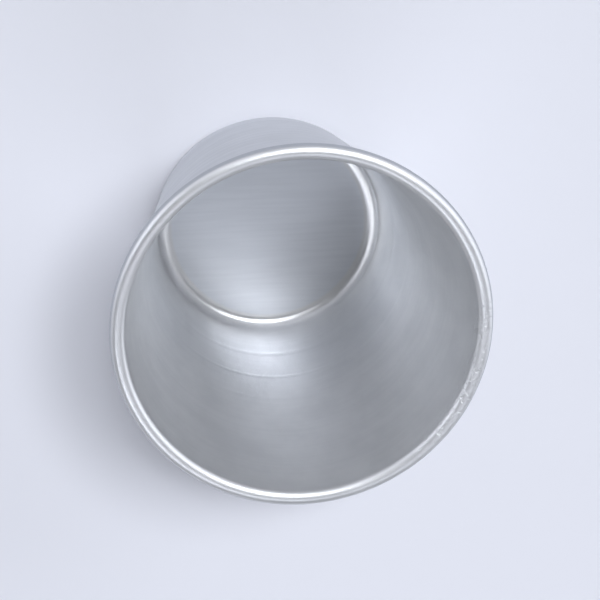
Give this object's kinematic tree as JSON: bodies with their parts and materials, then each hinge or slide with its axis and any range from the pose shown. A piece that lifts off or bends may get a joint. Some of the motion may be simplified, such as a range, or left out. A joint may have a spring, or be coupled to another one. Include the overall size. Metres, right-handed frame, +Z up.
{
  "type": "mini tart pan",
  "caption": "Deep tapered round baking cup drawn from thin satin aluminium sheet, with a flat floor, a rounded corner and an outward rolled rim closed over a stiffening wire.",
  "frame": {"origin": "centre of the flat underside, on the table that the pan stands on", "axes": "+Z up along the axis of the pan, from the base to the mouth; X and Y are free, because the pan is round"},
  "size_m": [0.07, 0.07, 0.06],
  "materials": {
    "anodised_aluminium": "satin anodised, with faint draw lines round the wall and a burnished corner and rim",
    "galvanised_steel": "plain drawn wire, dull zinc grey"
  },
  "bodies": {
    "root": {"cup_shell": "anodised_aluminium", "rim_wire": "galvanised_steel"}
  },
  "joints": []
}
